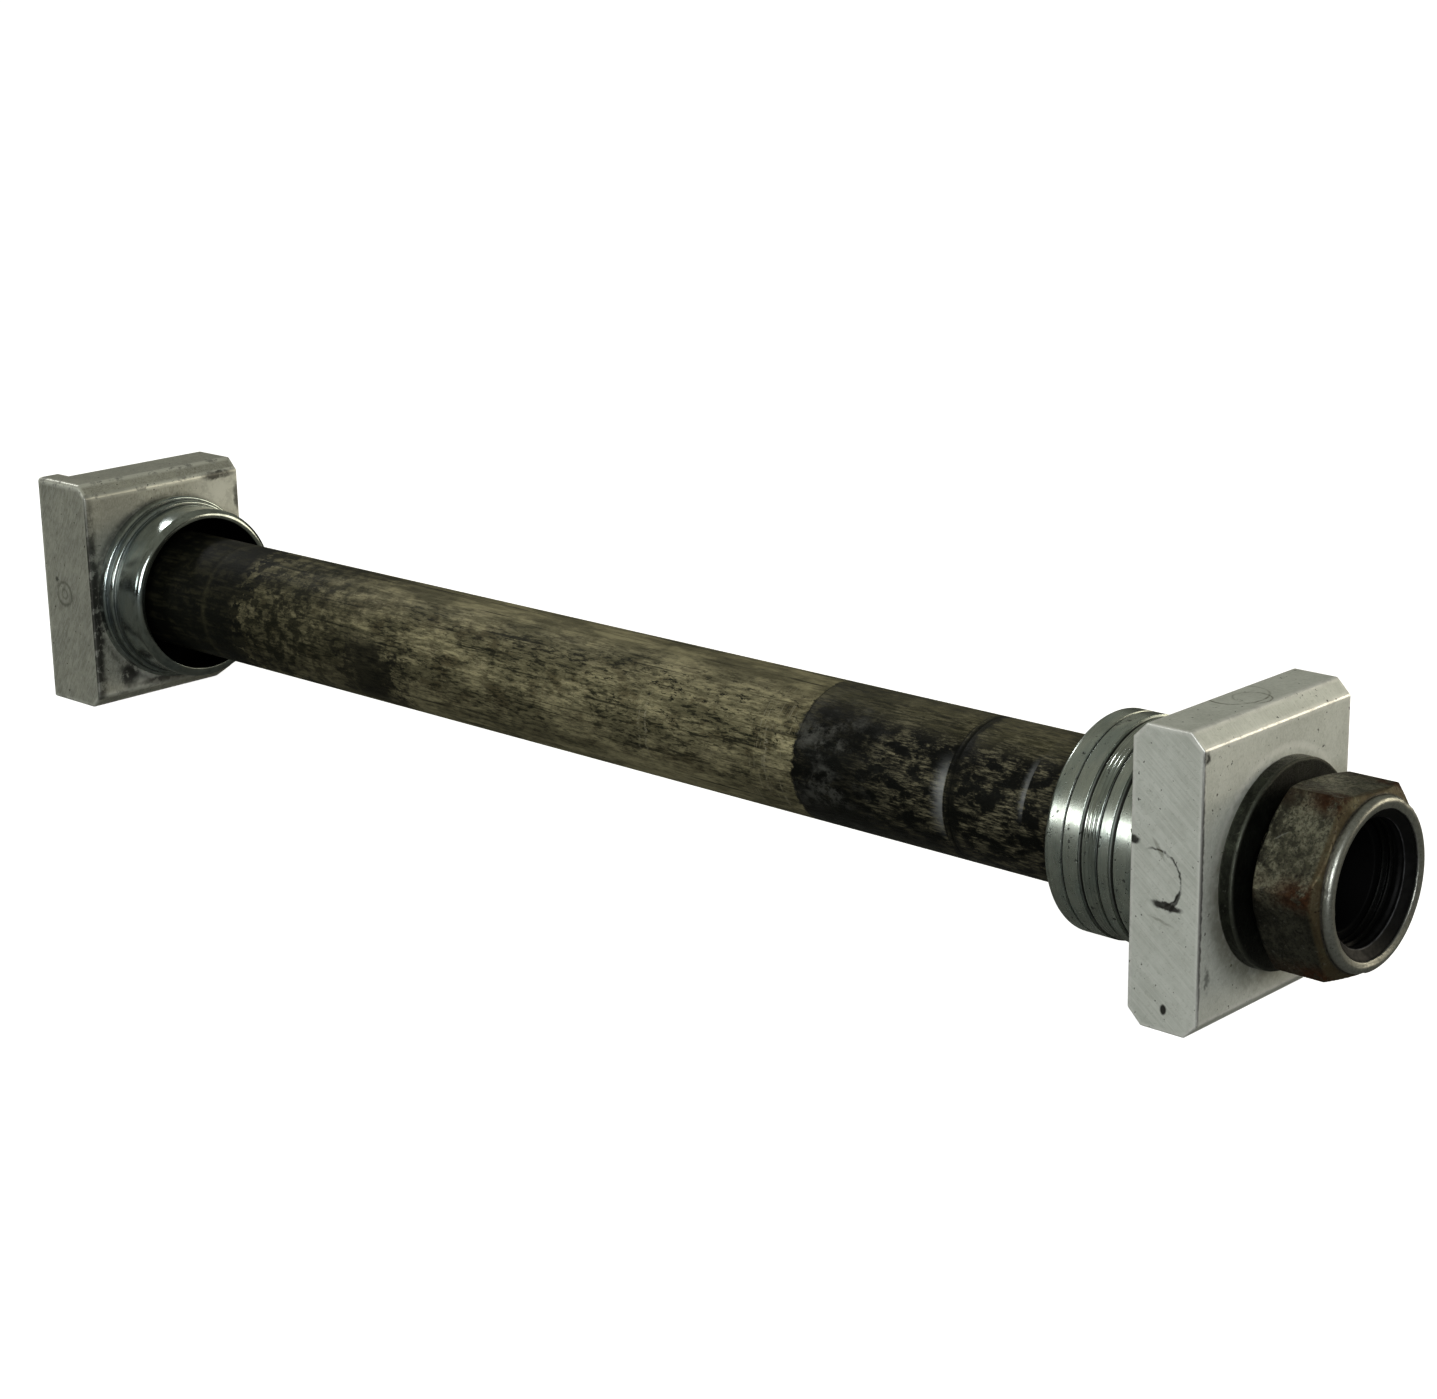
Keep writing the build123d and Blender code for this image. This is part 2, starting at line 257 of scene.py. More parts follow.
def millAluminium(look):
    # Aluminium block, milled and rubbed with grit: pale grey metal of a soft gloss, crossed by slanting
    # scratches. Corners are burnished or soiled, and their bright edges are partly a painted highlight.
    # Dirt and painted contact shadow sit where other pieces bear, and some faces carry painted light and
    # shade.
    *parts, reach, edge = measures()
    gritTurn, crossTurn = ([degree * a for a in turn] for turn in (look.gritTurn, look.crossTurn))
    # Grit lines are some 0.02 mm wide; they are drawn 0.35 mm wide, or the render wouldn't show them
    grit = patches((0.35, 14), 0.38, 0.66, 3, 0.6, gritTurn)
    cross = patches((0.5, 9), 0.60, 0.66, 2, 0.5, crossTurn, seed=9)
    cloud = patches(9, 0.36, 0.64, 5, 0.6, seed=4)
    mottle = patches(1.5, 0.40, 0.64, 5, 0.7, seed=31)
    specks = patches(1.1, 0.70, 0.73, 2, 0.5, seed=13)
    smudge = patches(3.2, 0.50, 0.60, 5, 0.7, seed=19)
    dirtyEdge = joined(edge, smudge, look.edgeDirt)
    noise = add("TexNoise", {"Vector": current.place, "Scale": 0.9, "Detail": 3.0}).outputs["Color"]
    wander = add("VectorMath", [noise, (0.5, 0.5, 0.5)], operation="SUBTRACT")
    marks = []
    for axis, low, high, faceMarks in look.marks:
        facing = span(parts["XYZ".index(axis)], low, high, 0.2)
        for mark in faceMarks:
            at, stretch, side = (acrossFace(axis, mark.get(key, (1, 1))) for key in ("at", "stretch", "side"))
            radius, ring = mark.get("radius", 1.0), mark.get("ring")
            inner, outer = (radius - ring / 2, radius + ring / 2) if ring else (-radius, radius)
            here = add("VectorMath", [wander, (mark.get("ragged", 0.3),) * 3, current.place],
                       operation="MULTIPLY_ADD")
            if "tilt" in mark:
                here = add("VectorRotate", {"Vector": here, "Center": at, "Axis": (1, 0, 0),
                                            "Angle": mark["tilt"] * degree})
            offset = add("VectorMath", [here, at], operation="SUBTRACT")
            flat = add("VectorMath", [offset, stretch], operation="MULTIPLY")
            away = add("VectorMath", [flat], operation="LENGTH").outputs["Value"]
            broken = layered(1.0, [(smudge, mark["broken"])])
            masks = [span(away, inner, outer, mark["soft"]), broken, facing, mark["amount"]]
            if "side" in mark:  # the ring is whole on this side and fades to rest on the other
                offset = add("VectorMath", [current.place, at], operation="SUBTRACT")
                toSide = add("VectorMath", [offset, side], operation="DOT_PRODUCT").outputs["Value"]
                masks.append(add("MapRange", {"Value": toSide, "From Min": -1.5, "From Max": 1.5,
                                              "To Min": mark.get("rest", 0.0)}, **eased))
            marks.append((joined(*masks), mark.get("colour", "dirt")))
    # the edges' bright layer is burnished wear and a painted highlight along them
    colour = painted("metal", [
        ((cloud, 0.45), "dull"), ((mottle, look.mottle), "dull"), ((grit, 0.30), "bright"),
        ((cross, 0.35), "dull"), ((edge, 0.85), "bright"), ((specks, 0.8), "dirt"), (dirtyEdge, "dirt"),
        *marks])
    gloss = layered(look.gloss, [
        ((grit, 0.5), look.gloss + 0.10), ((mottle, 0.5), look.gloss + 0.08),
        ((edge, 0.8), look.gloss - 0.12), (dirtyEdge, 0.7), (specks, 0.7)])
    height = layered(0.5, [
        ((grit, 0.5), 0.62), ((cross, 0.8), 0.1), (specks, 0.0), (dirtyEdge, 0.2),
        *[((mark, 0.5), 0.0) for mark, colourName in marks]])
    return shaderInputs(colour, gloss, height)


def zincSteel(look):
    # Turned steel with bright zinc plating: near-white metal with a blue cast and a sharp gloss that
    # turning marks draw out round the axis. Old oil lies in the grooves, with small dark spots.
    x, along, z, reach, edge = measures()
    # Turning marks are under 0.1 mm apart; they are drawn 0.3 mm apart so that the render shows them
    turning = patches((30, 0.3), 0.35, 0.65, 3, 0.6)
    cloud = patches((4, 2.2), 0.38, 0.66, 5, 0.6, seed=2)
    blue = patches((9, 4), 0.42, 0.66, 3, 0.5, seed=8)
    spots = patches(1.25, look.spots, look.spots + 0.03, 4, 0.65, seed=6)
    grime = patches((2.5, 1.0), 0.45, 0.62, 5, 0.65, seed=12)
    inGroove = add("Attribute", attribute_name="groove").outputs["Fac"]
    # the bore and the pocket are painted near black: oil, and painted shade in the recess
    inside = span(reach, 0, look.pocket, 0.15)
    polished = span(along, *look.polished, 0.2)
    colour = painted("zinc", [
        ((blue, 0.55), "blue"), ((cloud, 0.40), "dull"), ((turning, 0.22), "dull"), ((spots, 0.85), "dirt"),
        ((edge, grime, 0.30), "dirt"), ((polished, 0.2), "dull"), ((inGroove, 0.97), "dirt"),
        (inside, "pocketOil")])
    gloss = layered(look.gloss, [
        ((cloud, 0.7), look.gloss + 0.12), ((turning, 0.5), look.gloss + 0.08),
        (polished, 0.15), (spots, 0.6), (inGroove, 0.55), (inside, 0.6)])
    height = layered(0.5, [((turning, look.turning), 1.0), (spots, 0.0)])
    return shaderInputs(colour, gloss, height)


def agedSteel(look):
    # Forged and machined steel that has lost its plating: brown-grey and speckled, with brown rust at
    # the corners' outer ends, and bare and bright where it was rolled or rubbed. Oil and painted shade
    # blacken its hole, and its underside and the band by its neighbour carry painted shade as well.
    x, along, z, reach, edge = measures()
    speckle = patches(0.8, 0.44, 0.58, 6, 0.8)
    cloud = patches(4.5, 0.42, 0.58, 7, 0.75, seed=5)
    pits = patches(1.6, 0.58, 0.64, 6, 0.75, seed=27)
    scuffs = patches((0.5, 3.5, 0.9), 0.62, 0.68, 4, 0.7, turn=(0.5, 0, 0.4), seed=21)
    rustPatch = patches(2.6, 0.36, 0.54, 7, 0.75, seed=16)
    corner = add("MapRange", {"Value": reach, "From Min": look.cornerFrom,
                              "From Max": look.cornerFrom + 1.3}, **eased)
    outerEnd = add("MapRange", {"Value": along, "From Min": look.rustFrom,
                                "From Max": look.rustFrom + 6.0, "To Min": 0.25}, **eased)
    cone = joined(span(along, *look.cone, 0.4), span(reach, look.coneReach, 30, 0.3))
    rusty = joined(joined(corner, outerEnd), joined(cone, 0.35), operation="MAXIMUM")
    rust = joined(rusty, rustPatch, look.rustStrength)
    bare = span(along, look.bareFrom, beyond, 0.4)
    # the band that faces the neighbouring piece is painted black as oil and painted shade in the gap, and
    # more painted shade fades out over the next 5 mm
    dark = joined(span(along, *look.darkBand, 0.35), look.darkStrength)
    shade = add("MapRange", {"Value": along, "From Min": look.darkBand[1],
                             "From Max": look.darkBand[1] + 5.0, "To Min": 0.75, "To Max": 0.0})
    # the hole is painted near black: oil, and painted shade inside the recess
    hole = span(reach, 0, look.holeReach, 0.15)
    colour = painted("steel", [
        ((cloud, 0.80), "dull"), ((speckle, 0.70), "dark"), ((pits, 0.85), "dark"), ((shade, cloud), "dark"),
        # painted shade: below the axis the surface is painted darker
        ((span(z, -beyond, 0.0, 2.5), look.underSoil), "dark"),
        ((cone, 0.75), "soil"), ((cone, pits), "dark"), ((scuffs, 0.35), "bright"), ((edge, 0.22), "bright"),
        (rust, "rust"), ((rust, speckle, 0.6), "deepRust"),
        ((bare, layered(0.9, [(speckle, 0.55), (pits, 0.35)])), "bright"),
        ((span(along, *look.seam, 0.15), span(reach, look.seamReach, 30, 0.2),
          layered(0.9, [(speckle, 0.5)])), "oil"),
        (dark, "oil"), (hole, "oil")])
    gloss = layered(look.gloss, [
        ((speckle, 0.6), look.gloss + 0.18), (rust, 0.8), (bare, 0.30), ((bare, speckle, 0.5), 0.48),
        (dark, 0.5), (hole, 0.45)])
    height = layered(0.6, [((speckle, 0.55), 0.15), (pits, 0.0), ((rust, cloud), 1.0), ((bare, 0.7), 0.6)])
    return shaderInputs(colour, gloss, height)


def blackNylon(look):
    # Moulded nylon, black with oil: a plastic of middle gloss, its lip scuffed grey by the thread.
    edge = measures()[-1]
    dust = patches(1.6, 0.42, 0.62, 5, 0.7)
    scuff = patches((2.5, 0.5), 0.40, 0.60, 4, 0.6, seed=3)
    worn = joined(edge, layered(0.35, [(scuff, 1.0)]))
    colour = painted("nylon", [((dust, 0.4), "dust"), (worn, "scuffed")])
    gloss = layered(0.46, [(dust, 0.62), (worn, 0.36)])
    return shaderInputs(colour, gloss, dust)


def mattPaper(look):
    # Matt pale paper: nearly white to the camera, but greyer in the metal, as a table shows that falls
    # away from the light.
    grain = patches(60, 0.3, 0.7, 4, 0.5)
    isCamera = add("LightPath").outputs["Is Camera Ray"]
    seen = painted("paper", [((grain, 0.02), "grain")])
    return {"Base Color": painted("paperInMetal", [(isCamera, seen)]), "Roughness": 0.9,
            "Emission Color": "#ffffff",
            "Emission Strength": joined(isCamera, look.glow)}


# Turned pieces: a closed half section, (radius, distance from the piece's -Y face), run round the axis

pointMarks = ("edgeWear", "groove", "thread")  # what a point of the section says of the surface there
roundStep = 14  # most degrees between two points of a round
threadStep = 0.125  # mm between two points along a thread
leastGap = 0.002  # points nearer than this, in mm, are one


def softProfile(corners, longest):
    # rounds each corner, keeps a support point beside each round and divides runs over the longest;
    # gives radius, distance and the point marks for each point
    points = []
    for i, (x, y, radius, *marks) in enumerate(corners):
        wear, groove, thread = (dict(*marks).get(name, 0.0) for name in pointMarks)
        here = Vector((x, y))
        if radius <= 0:
            points.append((here, wear, groove, thread))
            continue
        before, after = Vector(corners[i - 1][:2]), Vector(corners[(i + 1) % len(corners)][:2])
        back, ahead = (before - here).normalized(), (after - here).normalized()
        half = back.angle(ahead) / 2
        reach = radius / math.tan(half)
        centre = here + (back + ahead).normalized() * radius / math.sin(half)
        room = min((before - here).length, (after - here).length)
        support = min(reach * 1.35 + 0.05, room * 0.48)  # just past the round, short of the next corner's
        steps = max(3, math.ceil(math.degrees(math.pi - 2 * half) / roundStep))
        start, end = here + back * reach - centre, here + ahead * reach - centre
        if support > reach:
            points.append((here + back * support, 0.0, groove, thread))
        for step in range(steps + 1):
            turned = start.lerp(end, step / steps).normalized() * radius
            points.append((centre + turned, 1.0, groove, thread))
        if support > reach:
            points.append((here + ahead * support, 0.0, groove, thread))
    rows = []
    for (here, *marks), (there, wearNext, grooveNext, threadNext) in zip(points, points[1:] + points[:1]):
        wear, groove, thread = marks
        rows.append((*here, *marks))
        step = threadStep if thread and threadNext else longest
        pieces = max(1, math.ceil((there - here).length / step))
        rows += [(*here.lerp(there, k / pieces), 0.0, min(groove, grooveNext), thread if threadNext else 0.0)
                 for k in range(1, pieces)]
    return rows


turningInputs = {  # input: value where a piece's sizes give none, and unit
    "Segments": (128, 1), "Flats": (6, 1), "Across Flats": (1000.0, mm), "First Corner": (0.0, degree),
    "Corner Round": (0.3, mm), "Side Flat": (1000.0, mm), "Thread Pitch": (1.5, mm),
    "Thread Depth": (0.0, mm), "Ding Depth": (0.0, mm), "Ding Size": (4.0, mm), "Seed": (1, 1)}


def turningTree():
    # takes the half section's points, turns them round Y, mills flats and cuts the thread
    tree = current.tree = bpy.data.node_groups.new("turnAndMill", "GeometryNodeTree")
    for name, kind, way in (("Section", "Geometry", "INPUT"), ("Geometry", "Geometry", "OUTPUT"),
                            ("Finish", "Material", "INPUT")):
        tree.interface.new_socket(name, in_out=way, socket_type="NodeSocket" + kind)
    for name, (value, unit) in turningInputs.items():
        kind = "NodeSocketInt" if isinstance(value, int) else "NodeSocketFloat"
        socket = tree.interface.new_socket(name, in_out="INPUT", socket_type=kind)
        socket.default_value = value * unit
    given = add("GroupInput").outputs
    section = given["Section"]
    # A grid with a column for each point of the section and a row for each segment of the turn
    count = add("AttributeDomainSize", [section], component="MESH").outputs["Point Count"]
    columns = add("ADD", [count, 1.0])
    rows = add("ADD", [given["Segments"], 1.0])
    grid = add("MeshGrid", {"Vertices X": columns, "Vertices Y": rows})
    index = add("InputIndex")
    inside = add("ADD", [index, 0.5])
    column = add("FLOOR", [add("DIVIDE", [inside, rows])])
    row = add("SUBTRACT", [index, joined(column, rows)])
    wrapped = add("MODULO", [column, count])
    step = add("DIVIDE", [math.tau, given["Segments"]])
    angle = add("MULTIPLY_ADD", [row, step, joined(step, 0.5)])
    cosine = add("COSINE", [angle])
    sine = add("SINE", [angle])

    def fromSection(value, dataType):  # a value of the section's points, carried to the turned surface
        return add("SampleIndex", {"Geometry": section, "Value": value, "Index": wrapped},
                   data_type=dataType, domain="POINT")

    def turned(radius):  # the place at this radius, in the row's direction
        return add("CombineXYZ", [joined(radius, cosine), along, joined(radius, sine)])

    point = add("SeparateXYZ", [fromSection(add("InputPosition"), "FLOAT_VECTOR")])
    radius, along = point.outputs["X"], point.outputs["Y"]
    marks = {name: fromSection(add("InputNamedAttribute", {"Name": name}, data_type="FLOAT")
                               .outputs["Attribute"], "FLOAT") for name in pointMarks}
    # Thread: a right-handed helix with flat crests and roots
    turns = add("DIVIDE", [angle, math.tau])
    pitches = add("DIVIDE", [along, given["Thread Pitch"]])
    phase = add("ADD", [pitches, turns])
    saw = add("FRACT", [phase])
    wave = add("MULTIPLY_ADD", [saw, 2.0, -1.0])
    folded = add("ABSOLUTE", [wave])
    flank = add("MapRange", {"Value": folded, "From Min": 0.12, "From Max": 0.85})
    cut = joined(flank, given["Thread Depth"], marks["thread"])
    radius = add("SUBTRACT", [radius, cut])
    # Flats: each point is drawn in to the nearest flat, softly at the corners
    wedge = add("DIVIDE", [math.tau, given["Flats"]])
    fromCorner = add("SUBTRACT", [angle, given["First Corner"]])
    inWedge = add("FLOORED_MODULO", [fromCorner, wedge])
    offMiddle = add("SUBTRACT", [inWedge, joined(wedge, 0.5)])
    flatReach = add("DIVIDE", [joined(given["Across Flats"], 0.5), add("COSINE", [offMiddle])])
    radius = add("SMOOTH_MIN", [radius, flatReach, given["Corner Round"]])
    # Dings: small dents that take a little off the corners and rims
    scale = add("DIVIDE", [1.0, given["Ding Size"]])
    noise = add("TexNoise", {"Vector": turned(radius), "W": given["Seed"], "Scale": scale,
                             "Detail": 2.0}, noise_dimensions="4D")
    ding = add("MapRange", {"Value": noise, "From Min": 0.52, "From Max": 0.70}, **eased)
    dented = joined(ding, given["Ding Depth"], marks["edgeWear"])
    radius = add("SUBTRACT", [radius, dented])
    # One flat on the +X side, where the radius may not reach past it
    facing = add("MAXIMUM", [cosine, 0.001])
    sideReach = add("DIVIDE", [given["Side Flat"], facing])
    radius = add("MINIMUM", [radius, sideReach])
    shape = add("SetPosition", {"Geometry": grid, "Position": turned(radius)})
    for name in ("edgeWear", "groove"):
        shape = add("StoreNamedAttribute", {"Geometry": shape, "Name": name, "Value": marks[name]},
                    data_type="FLOAT", domain="POINT")
    for kind, inputs in (("MergeByDistance", {"Distance": leastGap * mm}),
                         ("SetShadeSmooth", {"Shade Smooth": True}), ("RealizeInstances", {}),
                         ("SetMaterial", {"Material": given["Finish"]}), ("GroupOutput", {})):
        shape = add(kind, {"Geometry": shape, **inputs})
    return tree


turnAndMill = turningTree()


def plainMesh(source, name):  # the evaluated object as a plain mesh
    bpy.context.view_layer.update()
    depsgraph = bpy.context.evaluated_depsgraph_get()
    mesh = bpy.data.meshes.new_from_object(source.evaluated_get(depsgraph), depsgraph=depsgraph)
    mesh.name = name
    return mesh


def fitPiece(name, node, mesh, material):  # the finished mesh takes the place of the CAD part
    mesh.materials.clear()
    mesh.materials.append(material)
    piece = inScene(name, mesh)
    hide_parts(node)
    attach(piece, "root")
    print(name, "made:", len(mesh.polygons), "faces")


def turnPiece(name, node, sizes, corners, material, longest=1.5):
    # a corner gives radius, distance and round, each as a number or as a name in sizes, and its marks
    corners = [[sizes[value] if isinstance(value, str) else value for value in corner] for corner in corners]
    rows = softProfile(corners, longest)
    bottom = boxOf(node)[0].y
    section = bpy.data.meshes.new(name + "Section")
    section.from_pydata([(radius * mm, (bottom + y) * mm, 0) for radius, y, *marks in rows],
                        [(i, (i + 1) % len(rows)) for i in range(len(rows))], [])
    for column, mark in enumerate(pointMarks, 2):
        layer = section.attributes.new(mark, "FLOAT", "POINT")
        layer.data.foreach_set("value", [row[column] for row in rows])
    source = inScene(name + "Source", section)
    modifier = source.modifiers.new("turning", "NODES")
    modifier.node_group = turnAndMill
    sockets = {item.name: item.identifier for item in turnAndMill.interface.items_tree
               if item.in_out == "INPUT"}
    modifier[sockets["Finish"]] = material
    for inputName, (value, unit) in turningInputs.items():  # "Thread Pitch" is threadPitch in sizes
        key = inputName[0].lower() + inputName[1:].replace(" ", "")
        modifier[sockets[inputName]] = sizes.get(key, value) * unit
    mesh = plainMesh(source, name)
    source.modifiers.clear()
    bpy.data.objects.remove(source)
    shell = bmesh.new()
    shell.from_mesh(mesh)
    bmesh.ops.recalc_face_normals(shell, faces=shell.faces)
    fitPiece(name, node, intoMesh(shell, mesh), material)


# Camera at the photograph's viewing angle

cameraView = dict(lens=73.86, sensor=36.0, place=(0.41607, 0.4255, 0.16897), yaw=133.59, pitch=15.97,
                  roll=-1.01, nearest=0.01, furthest=60.0)
cameraData = bpy.data.cameras.new("photographCamera")
cameraData.lens = cameraView["lens"]
cameraData.sensor_width = cameraView["sensor"]
cameraData.sensor_fit = "HORIZONTAL"
cameraData.clip_start = cameraView["nearest"]
cameraData.clip_end = cameraView["furthest"]
camera = inScene("photographCamera", cameraData)
aim = Euler((math.radians(90 - cameraView["pitch"]), 0, math.radians(cameraView["yaw"])))
camera.matrix_world = (Matrix.Translation(cameraView["place"]) @ aim.to_matrix().to_4x4()
                       @ Matrix.Rotation(math.radians(cameraView["roll"]), 4, "Z"))
scene.camera = camera

# Axle: head, full shaft, relief and thread, with the shallow rings that the bearings wore into it

shaftLow, shaftHigh = boxOf("axle_shaft")
shaft = dict(bore=9.5, boreEdge=0.3, head=20.0, headLength=8.1, headEdge=1.0, sideFlat=17.8, radius=14.0,
             shoulder=337.6, relief=10.8, reliefEnd=339.6, threadStart=340.8, thread=12.0, tipEdge=0.9,
             threadPitch=1.5, threadDepth=0.9, length=shaftHigh.y - shaftLow.y, segments=160,
             wornRings=[(52.2, 0.7, 0.05), (238.3, 0.5, 0.04), (275.3, 0.5, 0.07), (276.5, 0.4, 0.06),
                        (293.3, 0.5, 0.05)])
shaftLook = dict(
    steel="#aba380", dull="#514e39", soil="#28271a", dark="#17180e", stain="#443a25", tan="#a89f80",
    pale="#b5ae96", oil="#0d0e0b", boreOil="#040404", smoke="#53534f", fleck="#827d66", farGrey="#12130d",
    bright="#97999a", head="#86847a", headRim="#a9a9a1", metallic=0.72, specular=0.2, bump=(0.06, 0.6),
    # where the finish changes along the axle, and how far from its axis the bore's oil and painted shade
    # reach; shaded is where the underside gets painted shade
    headEnd=-167.7, farMark=(-123.9, -122.7), farEnd=-112.9, farSoil=(-100.0, -44.0), stained=(-79, -60),
    shaded=(0, 97), busy=(2, 70), scored=(51, 61), nearSoil=(62.0, 81), bandStart=62.6,
    oilRing=(100.2, 102.6), mouthStart=173, mouthReach=12.3, boreReach=9.8,
    smears=[dict(end=99.1, length=3.8, low=-0.28, high=0.52, fade=0.28, strength=0.62),
            dict(end=117.4, length=1.8, low=0.20, high=0.85, fade=0.2, strength=0.42)],
    rings=[(99.4, 0.3), (100.6, 0.4), (62.4, 0.2)], arcs=[(20.6, 0.4), (22.4, 0.5), (55.0, 0.6)])
corners = [("bore", 0, "boreEdge"), ("head", 0, "headEdge"), ("head", "headLength", 0.4),
           ("radius", "headLength", 0.4)]
for at, width, depth in shaft["wornRings"]:
    corners += [("radius", at - width / 2, 0), (shaft["radius"] - depth, at, 0),
                ("radius", at + width / 2, 0)]
corners += [("radius", "shoulder", "tipEdge"), ("relief", "shoulder", 0.3), ("relief", "reliefEnd", 0.3),
            ("thread", "threadStart", 0, {"thread": 1.0}),
            ("thread", shaft["length"] - shaft["tipEdge"], 0, {"thread": 1.0, "edgeWear": 1.0}),
            (shaft["thread"] - shaft["tipEdge"], "length", 0, {"edgeWear": 1.0}),
            ("bore", "length", "boreEdge")]
turnPiece("axleShaft", "axle_shaft", shaft, corners, makeFinish("wornGroundSteel", wornSteel, shaftLook),
          longest=6)

# Left spacer: flange against the block, bead, then a smooth collar with a deep pocket round the shaft

leftSpacer = dict(bore=14.15, flange=22.2, flangeWidth=2.4, bead=21.3, beadEnd=4.3, collar=20.4, length=13.2,
                  noseRound=1.55, pocket=18.2, pocketFloor=3.2, edge=0.5, segments=256)
leftSpacerLook = dict(zinc="#aab2ae", blue="#83939b", dull="#8b908a", dirt="#15150f", pocketOil="#050505",
                      metallic=1.0, bump=(0.02, 0.6), gloss=0.13, spots=0.80, turning=0.25, pocket=18.35,
                      polished=(-141.0, -139.0))
corners = [("bore", 0, 0.2), ("flange", 0, 0.3), ("flange", "flangeWidth", "edge"),
           ("bead", "flangeWidth", 0.15, {"groove": 0.6}), ("bead", "beadEnd", "edge"),
           ("collar", "beadEnd", 0.25, {"groove": 0.5}), ("collar", "length", "noseRound"),
           ("pocket", "length", 0.25), ("pocket", "pocketFloor", 0.4), ("bore", "pocketFloor", 0.2)]
turnPiece("leftSpacer", "left_spacer", leftSpacer, corners,
          makeFinish("turnedZincSteelLeft", zincSteel, leftSpacerLook))

# Right spacer: a sleeve whose four turned grooves part it into bands, with three fine lines on one band

rightSpacer = dict(bore=14.15, radius=20.75, length=21.1, edge=1.0, grooveMouth=0.10, segments=256,
                   bands=[20.75, 20.75, 20.5, 20.75, 20.75],
                   grooves=[(17.0, 0.5, 0.3), (13.2, 0.8, 0.6), (9.6, 0.8, 0.6), (6.5, 1.2, 0.7)],
                   lineBand=2, fineLines=[12.3, 11.4, 10.6], lineWidth=0.34, lineDepth=0.09)
rightSpacerLook = dict(zinc="#cfd6cf", blue="#a3b3b3", dull="#878b83", dirt="#14130e", pocketOil="#0a0a08",
                       metallic=1.0, bump=(0.02, 0.6), gloss=0.22, spots=0.63, turning=0.45, pocket=14.3,
                       polished=(135.4, 138.6))
corners = [("bore", 0, 0.2), ("radius", 0, "edge")]
for band, (fromEnd, width, depth) in enumerate(rightSpacer["grooves"], 1):
    before, after = rightSpacer["bands"][band - 1:band + 1]
    at, groundRadius = rightSpacer["length"] - fromEnd, rightSpacer["radius"] - depth
    corners += [(before, at - width / 2, "grooveMouth"), (groundRadius, at - width / 3, 0, {"groove": 1.0}),
                (groundRadius, at + width / 3, 0, {"groove": 1.0}), (after, at + width / 2, "grooveMouth")]
    if band == rightSpacer["lineBand"]:
        for fromEnd in rightSpacer["fineLines"]:
            at, half = rightSpacer["length"] - fromEnd, rightSpacer["lineWidth"] / 2
            corners += [(after, at - half, 0), (after - rightSpacer["lineDepth"], at, 0, {"groove": 0.35}),
                        (after, at + half, 0)]
corners += [("radius", "length", 0.3), ("bore", "length", 0.2)]
turnPiece("rightSpacer", "right_spacer", rightSpacer, corners,
          makeFinish("turnedZincSteelRight", zincSteel, rightSpacerLook))

# Washer under the nut, thick and plain, its rim dinged

washer = dict(bore=12.4, radius=19.0, thickness=2.8, outerEdge=0.5, innerEdge=0.25, dingDepth=0.10,
              dingSize=3.5, segments=256)
washerLook = dict(
    steel="#36392f", dull="#2c2e27", dark="#161711", bright="#7a7d71", rust="#33241a", deepRust="#2a1a10",
    soil="#2c2b20", oil="#080807", metallic=0.85, bump=(0.08, 0.8), gloss=0.42, underSoil=0.3,
    darkBand=(165.6, 165.9), darkStrength=0.92, holeReach=12.6, rustStrength=0.0,
    # it has no rusty corners, cone, seam or bare end, so these lie beyond it
    cornerFrom=beyond, rustFrom=beyond, cone=(beyond, beyond), coneReach=beyond, seam=(beyond, beyond),
    seamReach=beyond, bareFrom=beyond)
corners = [("bore", 0, 0.2), ("radius", 0, "innerEdge"), ("radius", "thickness", "outerEdge"),
           ("bore", "thickness", 0.2)]
turnPiece("plainWasher", "washer", washer, corners, makeFinish("agedWasherSteel", agedSteel, washerLook),
          longest=0.7)

# Nut: hexagon coned at both ends, with a collar rolled over the locking insert

nut = dict(acrossFlats=32.0, firstCorner=5.0, cornerRound=0.35, bodyLength=12.7, face=16.5, coneRadius=19.475,
           coneRise=0.577, collar=15.5, crest=14.68, lip=14.0, opening=13.3, recess=14.3, recessTop=13.6,
           recessFloor=10.2, hole=12.1, holeEdge=1.0, threadPitch=1.5, threadDepth=0.9, dingDepth=0.16,
           dingSize=3.0, segments=396)
nutLook = dict(
    steel="#787664", dull="#353328", dark="#16150f", bright="#92938c", rust="#40240f", deepRust="#170e07",
    soil="#57513a", oil="#040403", metallic=0.85, bump=(0.08, 0.8), gloss=0.45, underSoil=0.7,
    darkBand=(160.0, 168.35), darkStrength=0.9, holeReach=13.2, rustStrength=0.95, cornerFrom=16.6,
    rustFrom=171.5, cone=(179.4, 181.2), coneReach=15.4, seam=(180.75, 181.1), seamReach=15.0, bareFrom=181.2)
coneEnd = (nut["coneRadius"] - nut["face"]) * nut["coneRise"]
coneStart = nut["bodyLength"] - (nut["coneRadius"] - nut["collar"]) * nut["coneRise"]
corners = [("face", 0, 0.3), ("coneRadius", coneEnd, 0), ("coneRadius", coneStart, 0),
           ("collar", "bodyLength", 0.35), ("collar", "crest", 1.05), ("opening", "lip", 0.28),
           ("opening", "recessTop", 0), ("recess", "recessTop", 0), ("recess", "recessFloor", 0),
           ("hole", "recessFloor", 0, {"thread": 1.0}), ("hole", "holeEdge", 0, {"thread": 1.0}),
           (nut["hole"] + nut["holeEdge"], 0, 0)]
turnPiece("axleNut", "axle_nut", nut, corners, makeFinish("agedNutSteel", agedSteel, nutLook),
          longest=0.45)

# Locking insert: a nylon ring held under the rolled collar, its hole marked by the thread

